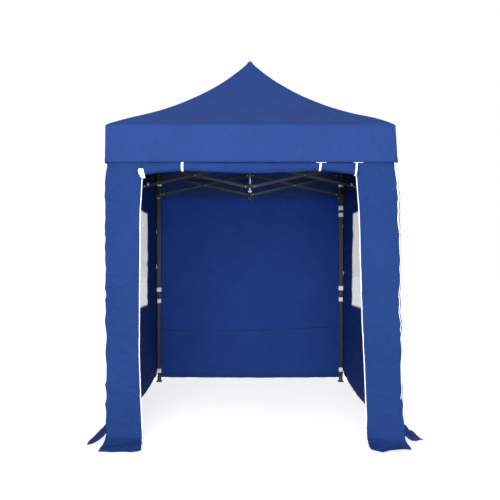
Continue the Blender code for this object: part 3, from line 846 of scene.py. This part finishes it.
even_across = np.linspace(-WALL_IN, WALL_IN, 161)
hem_across = np.array([-0.982, -0.979, 0.979, 0.982])
for side in ("right", "back", "left"):
    window = side != "back"
    extra_u = [-WINDOW_HALF, WINDOW_HALF] if window else []
    extra_v = [WALL_TOP - WINDOW_HIGH, WALL_TOP - WINDOW_LOW] if window else []
    across = np.unique(np.round(np.concatenate([even_across, hem_across, extra_u]), 5))
    down = rows_down(extra_v)
    keep = no_cell(across, down, WINDOW_HALF, *extra_v) if window else None
    points = wall_surface(side, across[None, :], down[:, None])
    wall = make_sheet("wall_cloth_" + side, points, blue_cloth, side + "_upper_bracket", keep=keep)
    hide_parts("wall_" + side)
    hang(wall)

# the front wall: the doorway's edges lean a little with the pull of the cloth, and its lower ends are round
DOOR_EDGE = {
    -1: ([0.0, 0.25, 0.55, 1.55, 1.90, 2.06, WALL_LONG], [0.747, 0.751, 0.770, 0.777, 0.765, 0.757, 0.717]),
    1: ([0.0, 0.25, 0.55, 1.30, 1.65, 2.00, WALL_LONG], [0.737, 0.742, 0.763, 0.784, 0.801, 0.814, 0.796]),
}
CORNER_ROUND = 0.022


def door_edge(way, down):
    """Distance of the doorway's edge from the middle, at a distance down the cloth."""
    wide = np.interp(down, *DOOR_EDGE[way])
    left = np.clip(CORNER_ROUND - (WALL_LONG - np.asarray(down, float)), 0, CORNER_ROUND)
    return wide + CORNER_ROUND - np.sqrt(CORNER_ROUND**2 - left**2)


down = rows_down([WALL_TOP - DOOR_TOP])
share = np.concatenate([[0.0, 0.004, 0.020], np.linspace(0.05, 0.93, 22), [0.975, 0.985, 1.0]])
left_edge, right_edge = door_edge(-1, down), door_edge(1, down)
left_part = -WALL_IN + share[None, :] * (WALL_IN - left_edge)[:, None]
right_part = right_edge[:, None] + share[None, :] * (WALL_IN - right_edge)[:, None]
middle_part = -left_edge[:, None] + np.linspace(0, 1, 81)[None, 1:-1] * (left_edge + right_edge)[:, None]
across = np.concatenate([left_part, middle_part, right_part], 1)
keep = np.ones((len(down) - 1, across.shape[1] - 1), bool)
first, last = len(share) - 1, len(share) + 79
keep[down[:-1] >= WALL_TOP - DOOR_TOP - 1e-6, first:last] = False
points = wall_surface("front", across, down[:, None])
front_wall = make_sheet("wall_cloth_front", points, blue_cloth, "front_upper_bracket", keep=keep)
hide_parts("wall_front")
hang(front_wall)

# ---------------------------------------------------------------- windows
# Clear soft PVC film, half a millimetre thick and a little milky, sewn in behind a blue binding with a white
# edge of bare tape.
film, tree, out = new_material("clear_pvc_film")
place = add_node(tree, "ShaderNodeTexCoord")
haze = add_node(tree, "ShaderNodeTexNoise", Vector=place.outputs["Object"], Scale=6.0, Detail=3.0)
tint = add_node(
    tree,
    "ShaderNodeMix",
    {"data_type": "RGBA"},
    _i0=haze.outputs[0],
    _i6=hex_colour("b9bbbd"),
    _i7=hex_colour("d2d2d0"),
)
slack_film = add_node(tree, "ShaderNodeBump", Height=haze.outputs[0], Strength=0.4, Distance=8 * MM)
film_shader = add_node(
    tree,
    "ShaderNodeBsdfPrincipled",
    Base_Color=tint.outputs[2],
    Roughness=0.16,
    Alpha=0.31,
    Normal=slack_film.outputs[0],
)
film_shader.inputs["IOR"].default_value = 1.53
tree.links.new(film_shader.outputs[0], out.inputs["Surface"])

# bleached polyester tape: bright, matt and very slightly ribbed, with 2 mm ribs
white_tape = tape_material("white_polyester_tape", "c8cde0", "dfe2ee", 2.0, 0.7, 0.1)


def ribbon(name, side, path, width_way, material, proud, thick, body=None):
    """A flat tape laid on a wall: path is rows of (across, down) for its middle, width_way its half width."""
    across, down = np.array(path, float).T
    du, dv = np.gradient(across), np.gradient(down)
    long = np.hypot(du, dv)
    nu, nv = -dv / long, du / long
    offsets = np.array([-1.0, -0.85, 0.0, 0.85, 1.0]) * width_way
    lift = np.array([-0.5, 0.0, 0.25, 0.0, -0.5]) * thick
    u = across[:, None] + nu[:, None] * offsets[None, :]
    v = np.clip(down[:, None] + nv[:, None] * offsets[None, :], 0, WALL_LONG)
    points = wall_surface(side, u, v, proud=proud)
    points += outward(points) * lift[None, :, None]
    piece = make_sheet(name, points, material, body or side + "_upper_bracket", thick=thick)
    hang(piece)
    return piece


def rectangle_path(half, top, bottom, step=0.02):
    corners = [(-half, top), (half, top), (half, bottom), (-half, bottom), (-half, top)]
    path = []
    for (u0, v0), (u1, v1) in zip(corners, corners[1:]):
        n = max(2, int(math.hypot(u1 - u0, v1 - v0) / step))
        path += [(u0 + (u1 - u0) * i / n, v0 + (v1 - v0) * i / n) for i in range(n)]
    return path + [corners[0]]


for side in ("right", "left"):
    top, bottom = WALL_TOP - WINDOW_HIGH, WALL_TOP - WINDOW_LOW
    u = np.linspace(-WINDOW_HALF - 0.012, WINDOW_HALF + 0.012, 60)
    v = np.linspace(top - 0.012, bottom + 0.012, 60)
    pane = make_sheet(
        "window_film_" + side,
        wall_surface(side, u[None, :], v[:, None], proud=-1.3 * MM),
        film,
        side + "_upper_bracket",
        thick=0.5 * MM,
    )
    hang(pane)
    for layer, shift, tape, half, proud in (
        ("binding", 0.010, blue_cloth, 12 * MM, 1.6 * MM),
        ("edge", -0.004, white_tape, 3.5 * MM, -2.6 * MM),
    ):
        path = rectangle_path(WINDOW_HALF + shift, top - shift, bottom + shift)
        ribbon(f"window_{layer}_{side}", side, path, half, tape, proud, 1.0 * MM)

# ---------------------------------------------------------------- back wall seam
# Two widths of cloth are joined across the back wall with a flat felled seam, 14 mm wide, which shows on both
# sides. It hangs a little lower in its middle than straight, and one end is 40 mm lower than the other.
seam_path = []
for u in np.linspace(-0.998, 0.998, 120):
    seam_high = 0.560 - 0.020 * u - 0.012 * math.cos(u * 2.2)
    seam_path.append((u, WALL_TOP - seam_high))
navy_thread = tape_material("navy_sewing_thread", "101c48", "1a2a66", 2.0, 0.8, 0.05)
ribbon("back_seam_outside", "back", seam_path, 7 * MM, blue_cloth, 1.3 * MM, 1.2 * MM)
ribbon("back_seam_inside", "back", seam_path, 6 * MM, navy_thread, -1.5 * MM, 1.2 * MM)

# ---------------------------------------------------------------- ground flap joins
# Each ground flap is sewn to its wall near the ground, and the seam shows as a flat band 30 mm wide.
seam_top, seam_bottom = 2.070, 2.100
for side in SIDES:
    ways = (-1, 1) if side == "front" else (0,)
    for way in ways:
        if way:
            ends = sorted((way * 0.998, way * (float(door_edge(way, 2.0)) + 0.012)))
        else:
            ends = (-0.998, 0.998)
        u = np.linspace(*ends, 20 if way else 120)
        v = np.linspace(seam_top, seam_bottom, 7)
        points = wall_surface(side, u[None, :], v[:, None], proud=0.8 * MM)
        name = "flap_join_" + side + {-1: "_left", 0: "", 1: "_right"}[way]
        band = make_sheet(name, points, blue_cloth, side + "_upper_bracket", thick=0.5 * MM)
        hang(band)

# ---------------------------------------------------------------- zips
# White coil zips on the doorway's edges and down the corner by the right-hand leg, where the walls close.
for way, name in ((-1, "left"), (1, "right")):
    v = np.linspace(WALL_TOP - DOOR_TOP + 0.02, WALL_LONG - 0.05, 150)
    path = [(way * (float(door_edge(way, d)) + 1.5 * MM), d) for d in v]
    ribbon("door_zip_tape_" + name, "front", path, 2.2 * MM, white_tape, 1.2 * MM, 0.8 * MM)
    path = [(way * (float(door_edge(way, d)) - 1.0 * MM), d) for d in v]
    ribbon("door_zip_coil_" + name, "front", path, 1.1 * MM, white_tape, 1.2 * MM, 1.8 * MM)
path = [(0.9915 + 0.002 * math.sin(9 * d), d) for d in np.linspace(0.205, 0.70, 60)]
ribbon("corner_zip_tape", "front", path, 4.5 * MM, white_tape, 1.6 * MM, 1.0 * MM)
path = [(u - 6.5 * MM, d) for u, d in path]
ribbon("corner_zip_stitching", "front", path, 1.6 * MM, navy_thread, 1.2 * MM, 0.8 * MM)
path = [(0.9935 + 0.002 * math.sin(9 * d), d) for d in np.linspace(0.70, 1.85, 90)]
ribbon("corner_zip_lower", "front", path, 1.6 * MM, strap_tape, 1.2 * MM, 0.8 * MM)

# ---------------------------------------------------------------- rolled door
# The door is the missing part of the front wall, rolled up on itself and held by ties. It hangs a little
# between them, and its ends droop.
ROLL_OUT = 1.016
# height of the roll's lower edge along it, and of its upper edge under the valance
LOWER = ([-0.757, -0.70, -0.60, -0.47, -0.30, 0.0, 0.30, 0.49, 0.60, 0.68, 0.757],
         [1.862, 1.872, 1.884, 1.897, 1.889, 1.880, 1.888, 1.899, 1.888, 1.875, 1.862])
UPPER = ([-0.757, -0.60, -0.47, 0.0, 0.49, 0.757], [1.953, 1.954, 1.954, 1.952, 1.954, 1.951])
TIES = (-0.472, 0.490, 0.734)
stations = np.unique(np.concatenate([np.linspace(-0.757, 0.757, 150), np.array(TIES), [-0.7555, 0.7555]]))
around = 40
points = []
for x in stations:
    low, high = np.interp(x, *LOWER), np.interp(x, *UPPER)
    half_high, middle = (high - low) / 2, (high + low) / 2
    near_tie = max(math.exp(-((x - t) ** 2) / 0.03**2) for t in TIES)
    end = 1.0 - 0.25 * smooth_step(0.748, 0.757, abs(x))
    for i in range(around):
        a = math.tau * i / around
        layers = 1 + 0.035 * math.sin(3 * a + 4.0 * x) + 0.02 * math.sin(7 * a - 9 * x)
        step = 0.05 * ((i / around + 0.30) % 1.0)
        r = (layers + step - 0.10 * near_tie * 0.6) * end
        out_by = ROLL_OUT + 0.024 * r * math.cos(a) - 0.004
        points.append((x, -out_by, middle + half_high * r * math.sin(a) * 0.97))
points = np.array(points).reshape(len(stations), around, 3)
points[..., 1] += 0.0025 * noise_field(points, (0.10, 0.03, 0.03), 9)
points[..., 2] += 0.0020 * noise_field(points, (0.14, 0.03, 0.03), 10)
faces = []
for r in range(len(stations) - 1):
    for i in range(around):
        j = (i + 1) % around
        faces.append((r * around + i, r * around + j, (r + 1) * around + j, (r + 1) * around + i))
faces.append(tuple(range(around)))
faces.append(tuple((len(stations) - 1) * around + i for i in range(around)))
roll = new_piece("door_roll", points, faces, blue_cloth, "front_upper_bracket")
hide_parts("rolled_door")
hang(roll)

# ---------------------------------------------------------------- door ties and tabs
# White webbing loops, 14 to 17 mm wide, round the roll. Short white hook-and-loop tabs show under the hem,
# and one longer tab hangs folded at the left end.


def tie_loop(name, x, half_wide, lean):
    low, high = float(np.interp(x, *LOWER)), float(np.interp(x, *UPPER))
    middle, half_high = (low + high) / 2, (high - low) / 2 + 2 * MM
    n = 28
    points = []
    for reach, side_way in ((0.0, -1), (1.4 * MM, -1), (1.4 * MM, 1), (0.0, 1)):
        for i in range(n):
            a = math.tau * i / n
            z = middle + (half_high + reach) * math.sin(a)
            out_by = ROLL_OUT + (0.0235 + reach) * math.cos(a)
            points.append((x + side_way * half_wide + lean * (z - middle), -out_by, z))
    faces = []
    for r in range(4):
        for i in range(n):
            j = (i + 1) % n
            a, b = r * n, ((r + 1) % 4) * n
            faces.append((a + i, a + j, b + j, b + i))
    piece = new_piece(name, points, faces, white_tape, "front_upper_bracket")
    hang(piece)


tie_loop("door_tie_left", -0.472, 8.5 * MM, 0.0)
tie_loop("door_tie_middle", 0.490, 7.5 * MM, 0.12)
tie_loop("door_tie_right", 0.740, 7.0 * MM, 0.10)


def tab(name, outline, thick, material=white_tape):
    """A small flat tab on the front: outline is rows of (left x, right x, out, height), from its top."""
    points = []
    for left, right, out_by, height in outline:
        for f in (0.0, 0.08, 0.5, 0.92, 1.0):
            points.append((left + (right - left) * f, -out_by - (0.6 * MM if 0 < f < 1 else 0), height))
    points = np.array(points).reshape(len(outline), 5, 3)
    piece = new_piece(name, points, grid_faces(len(outline), 5), material, "front_upper_bracket")
    shell = piece.modifiers.new("thickness", "SOLIDIFY")
    shell.thickness = thick
    shell.offset = 0.0
    hang(piece)


tab("hem_tab_middle", [(0.462, 0.536, 1.0165, 1.9565), (0.464, 0.534, 1.0170, 1.9535)], 1.4 * MM)
tab("hem_tab_right", [(0.722, 0.792, 1.0165, 1.9565), (0.724, 0.790, 1.0170, 1.9535)], 1.4 * MM)
folded = [(-0.772, -0.742, 1.044, 1.908), (-0.778, -0.738, 1.046, 1.896), (-0.772, -0.734, 1.044, 1.876)]
folded += [(-0.764, -0.730, 1.040, 1.858), (-0.756, -0.728, 1.036, 1.846), (-0.744, -0.732, 1.034, 1.842)]
tab("door_tab_left", folded, 1.6 * MM)

low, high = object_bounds()
